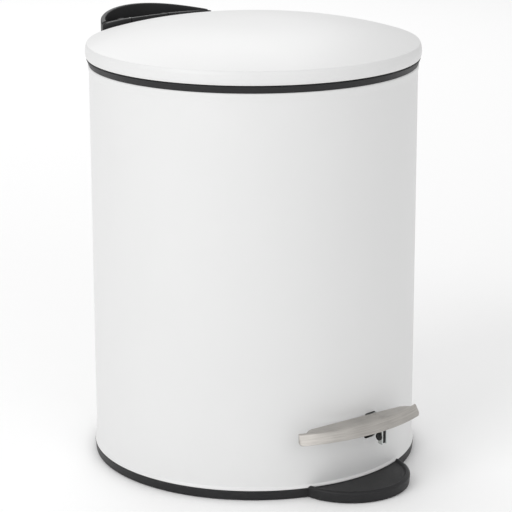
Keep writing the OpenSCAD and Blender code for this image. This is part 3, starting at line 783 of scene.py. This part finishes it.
def makePedal():
    size = pedalSizes
    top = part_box("pedal_plate")[1].z
    halfWidth = size["front"] * math.sin(math.radians(size["half"]))
    cornerX, cornerY = size["back"] + size["corner"], halfWidth - size["corner"]
    flatEnd = size["front"] - size["fold"] * 0.8
    reach = size["half"] + size["tail"]

    def backRadius(angle):
        if size["back"] * math.tan(abs(angle)) < cornerY:
            return size["back"] / math.cos(angle)
        along = cornerX * math.cos(angle) + cornerY * math.sin(abs(angle))
        left = along ** 2 - cornerX ** 2 - cornerY ** 2 + size["corner"] ** 2
        return min(along - math.sqrt(left), flatEnd) if left > 0 else flatEnd

    def lipHeight(angle):
        rest = size["front"] * math.radians(reach - abs(math.degrees(angle)))
        short = max(0, size["lipCorner"] - rest)
        return size["lip"] - size["lipCorner"] + math.sqrt(size["lipCorner"] ** 2 - short ** 2)

    def section(angle):
        back, height = backRadius(angle), lipHeight(angle)
        points = [(back + (flatEnd - back) * k / 6, top) for k in range(7)]
        lean = size["lean"] * height / size["lip"]
        for k in range(1, 7):
            bend = math.radians(75 * k / 6)
            points.append((flatEnd + size["fold"] * math.sin(bend) * 0.83,
                           top - size["fold"] * (1 - math.cos(bend))))
        start = Vector(points[-1])
        end = Vector((size["front"] + lean - 0.02 * mm, top - height))
        return points + [tuple(start.lerp(end, k / 5)) for k in range(1, 6)]

    degrees = [-reach + 0.12 * k for k in range(12)]
    degrees += [-reach + 1.44 + (2 * reach - 2.88) * k / 90 for k in range(91)]
    degrees += [reach - 0.12 * k for k in range(11, -1, -1)]
    work = bmesh.new()
    rows = []
    for degree in degrees:
        angle = math.radians(degree)
        heading = angle + math.radians(size["turned"] - 90)
        ahead, across = math.cos(heading), math.sin(heading)
        rows.append([work.verts.new((r * ahead, r * across, z)) for r, z in section(angle)])
    for first, second in zip(rows, rows[1:]):
        for k in range(len(first) - 1):
            work.faces.new((first[k], second[k], second[k + 1], first[k + 1]))
    bmesh.ops.remove_doubles(work, verts=work.verts, dist=0.01 * mm)
    bmesh.ops.recalc_face_normals(work, faces=work.faces)
    upper = max(work.faces, key=lambda face: face.calc_center_median().z)
    if upper.normal.z < 0:
        bmesh.ops.reverse_faces(work, faces=work.faces)
    mesh = bpy.data.meshes.new("pedalPlate")
    work.to_mesh(mesh)
    work.free()
    piece = showObject("pedalPlate", mesh)
    sheet = piece.modifiers.new("sheet", "SOLIDIFY")
    sheet.thickness = size["sheet"]
    sheet.offset = -1
    sheet.use_even_offset = True
    edge = piece.modifiers.new("edge", "BEVEL")
    edge.width = 0.22 * mm
    edge.segments = 2
    edge.limit_method = "ANGLE"
    edge.angle_limit = math.radians(50)
    bakeModifiers(piece)
    return standFor(polish(piece), "pedal_plate")


makePedal()
print("pedal folded")


# Pieces whose shape the frame already has: their edges are rounded as the real ones are

edgeWidths = {"hinge_housing": 0.7, "pedal_lever": 0.3, "nose_bumper": 0.35, "hinge_arm": 0.3,
              "hinge_cap": 0.4, "hinge_pin": 0.3, "lug_pin": 0.3, "push_rod": 0.25, "rod_clip": 0.2,
              "pivot_bracket": 0.25, "pivot_pin": 0.3, "pivot_clips": 0.15, "rod_guides": 0.4,
              "hinge_backplate": 0.25, "lever_bush": 0.25, "lid_ring": 0.35}


def camelName(node):
    first, *rest = node.split("_")
    return first + "".join(word.capitalize() for word in rest)


for node, width in edgeWidths.items():
    standFor(softened(camelName(node), node, width * mm), node)
print("frame pieces softened:", len(edgeWidths))


# Studio

studio = {"distance": 1.304, "azimuth": 39.6, "height": 0.4885, "pitch": 15.622, "turn": 0.057,
          "roll": -0.127, "lens": 151.08}


def placeCamera():
    data = bpy.data.cameras.new("camera")
    data.lens = studio["lens"]
    data.sensor_width = 36
    data.clip_start = 0.05
    camera = bpy.data.objects.new("camera", data)
    bpy.context.scene.collection.objects.link(camera)
    angle = math.radians(studio["azimuth"])
    away = studio["distance"]
    camera.location = (-math.sin(angle) * away, -math.cos(angle) * away, studio["height"])
    camera.rotation_mode = "XYZ"
    aim = Euler((math.radians(90 - studio["pitch"]), 0, -angle - math.radians(studio["turn"])))
    roll = Euler((0, 0, math.radians(studio["roll"])))
    camera.rotation_euler = (aim.to_matrix() @ roll.to_matrix()).to_euler()
    bpy.context.scene.camera = camera


def areaLight(name, place, target, size, power, colour=(1, 1, 1)):
    data = bpy.data.lights.new(name, "AREA")
    data.shape = "RECTANGLE"
    data.size, data.size_y = size
    data.energy = power
    data.color = colour
    light = bpy.data.objects.new(name, data)
    bpy.context.scene.collection.objects.link(light)
    light.location = place
    light.rotation_euler = (Vector(target) - Vector(place)).to_track_quat("-Z", "Y").to_euler()


def lightStudio():
    areaLight("key", (-1.9, -0.2, 1.4), (0, 0, 0.12), (1.4, 1.4), 17)
    areaLight("front", (-0.6, -2.0, 1.0), (0, 0, 0.12), (1.2, 1.2), 5)
    areaLight("back", (0.9, 1.6, 1.6), (0, 0, 0.15), (1.4, 1.4), 11)
    world = bpy.data.worlds.new("studio")
    bpy.context.scene.world = world
    world.use_nodes = True
    sky = world.node_tree.nodes["Background"]
    sky.inputs["Color"].default_value = (1, 1, 1, 1)
    sky.inputs["Strength"].default_value = 0.72


def layFloor():
    work = bmesh.new()
    bmesh.ops.create_grid(work, x_segments=1, y_segments=1, size=8)
    mesh = bpy.data.meshes.new("floor")
    work.to_mesh(mesh)
    work.free()
    material, tree, shader, place = blankFinish("paleFloor")
    shade = noise(tree, place, 3, 2)
    tree.links.new(tint(tree, shade, (0.955, 0.955, 0.955), (0.965, 0.965, 0.965)),
                   shader.inputs["Base Color"])
    shader.inputs["Roughness"].default_value = 0.9
    shader.inputs["Specular IOR Level"].default_value = 0.1
    mesh.materials.append(material)
    floor = showObject("floor", mesh)
    floor.location.z = -0.3 * mm


placeCamera()
lightStudio()
layFloor()
bpy.context.scene.view_settings.view_transform = "Standard"
print("studio ready")
